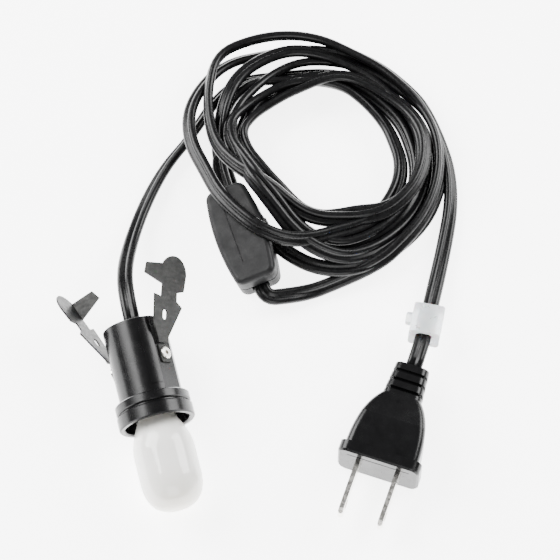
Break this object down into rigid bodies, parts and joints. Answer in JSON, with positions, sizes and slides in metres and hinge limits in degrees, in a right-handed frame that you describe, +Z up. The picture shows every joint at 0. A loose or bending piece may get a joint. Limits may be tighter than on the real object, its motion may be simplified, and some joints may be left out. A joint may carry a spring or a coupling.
{
  "type": "clip-in candelabra lampholder cord set",
  "caption": "Clip-in candelabra lampholder with opal bulb, on a flat twin cord with in-line wheel switch and two-pin mains plug.",
  "frame": {"origin": "on the surface it lies on, under the middle of the lampholder with its clips and bulb", "axes": "+Z up, -Y towards the bulb end, +X to the right of the lampholder seen from its bulb end"},
  "size_m": [0.1338, 0.1719, 0.035],
  "materials": {
    "gloss_black": "glossy moulded",
    "matte_black": "fine matte moulded",
    "clip_steel": "dark matte spring steel",
    "brass": "bright",
    "nickel": "nickel plated",
    "opal_glass": "opal white gloss",
    "clear_glass": "clear",
    "steel_wire": "plain",
    "insulator": "pressed fibre",
    "vitrite": "black glass bead",
    "cord_pvc": "semi-gloss extruded",
    "core": "insulated core",
    "tag_plastic": "milky translucent"
  },
  "bodies": {
    "holder": {"socket_body": "gloss_black", "socket_front_ring": "gloss_black", "socket_rear_cap": "gloss_black", "socket_insulator": "insulator", "socket_screw_shell": "brass", "socket_centre_contact": "brass", "socket_contact_rivets": "brass", "socket_shell_lead": "core", "socket_centre_lead": "core", "right_clip_foot": "clip_steel", "left_clip_foot": "clip_steel", "clip_rivets": "nickel", "switch_base": "matte_black", "switch_cover": "matte_black", "switch_axle": "brass", "switch_contact_in": "brass", "switch_contact_out": "brass", "switch_screws": "nickel", "cord_switch_run": "cord_pvc", "plug_blade_left": "nickel", "plug_blade_right": "nickel", "plug_blade_carrier": "matte_black", "plug_crimps": "brass", "plug_cores": "core", "plug_body": "gloss_black", "cord_tag": "tag_plastic", "cord_socket_lead": "cord_pvc", "cord_plug_lead": "cord_pvc", "cord_coil": "cord_pvc"},
    "bulb": {"bulb_glass": "opal_glass", "bulb_cap": "brass", "bulb_cap_insulator": "vitrite", "bulb_tip_contact": "nickel", "bulb_stem": "clear_glass", "bulb_support_wires": "steel_wire", "bulb_filament": "steel_wire"},
    "right_clip": {"right_clip_arm": "clip_steel"},
    "left_clip": {"left_clip_arm": "clip_steel"},
    "thumbwheel": {"switch_wheel": "matte_black", "switch_rotor": "brass"}
  },
  "joints": [
    {"name": "bulb_turn", "type": "hinge", "parent": "holder", "child": "bulb", "pos_m": [0.00088, -0.00913, 0.01205], "axis": [0, -0.9962, -0.0872], "range_deg": [0, 900]},
    {"name": "right_clip_flex", "type": "hinge", "parent": "holder", "child": "right_clip", "pos_m": [0.00828, 0.01171, 0.02056], "axis": [0.6691, 0.0648, -0.7403], "range_deg": [-14, 6], "stiffness_Nm_per_rad": 0.35},
    {"name": "left_clip_flex", "type": "hinge", "parent": "holder", "child": "left_clip", "pos_m": [-0.00847, 0.01259, 0.01053], "axis": [-0.342, -0.0819, 0.9361], "range_deg": [-14, 6], "stiffness_Nm_per_rad": 0.35},
    {"name": "wheel_turn", "type": "hinge", "parent": "holder", "child": "thumbwheel", "pos_m": [0.04419, 0.04599, 0.01073], "axis": [-0.2072, -0.017, 0.9781], "continuous": true}
  ]
}
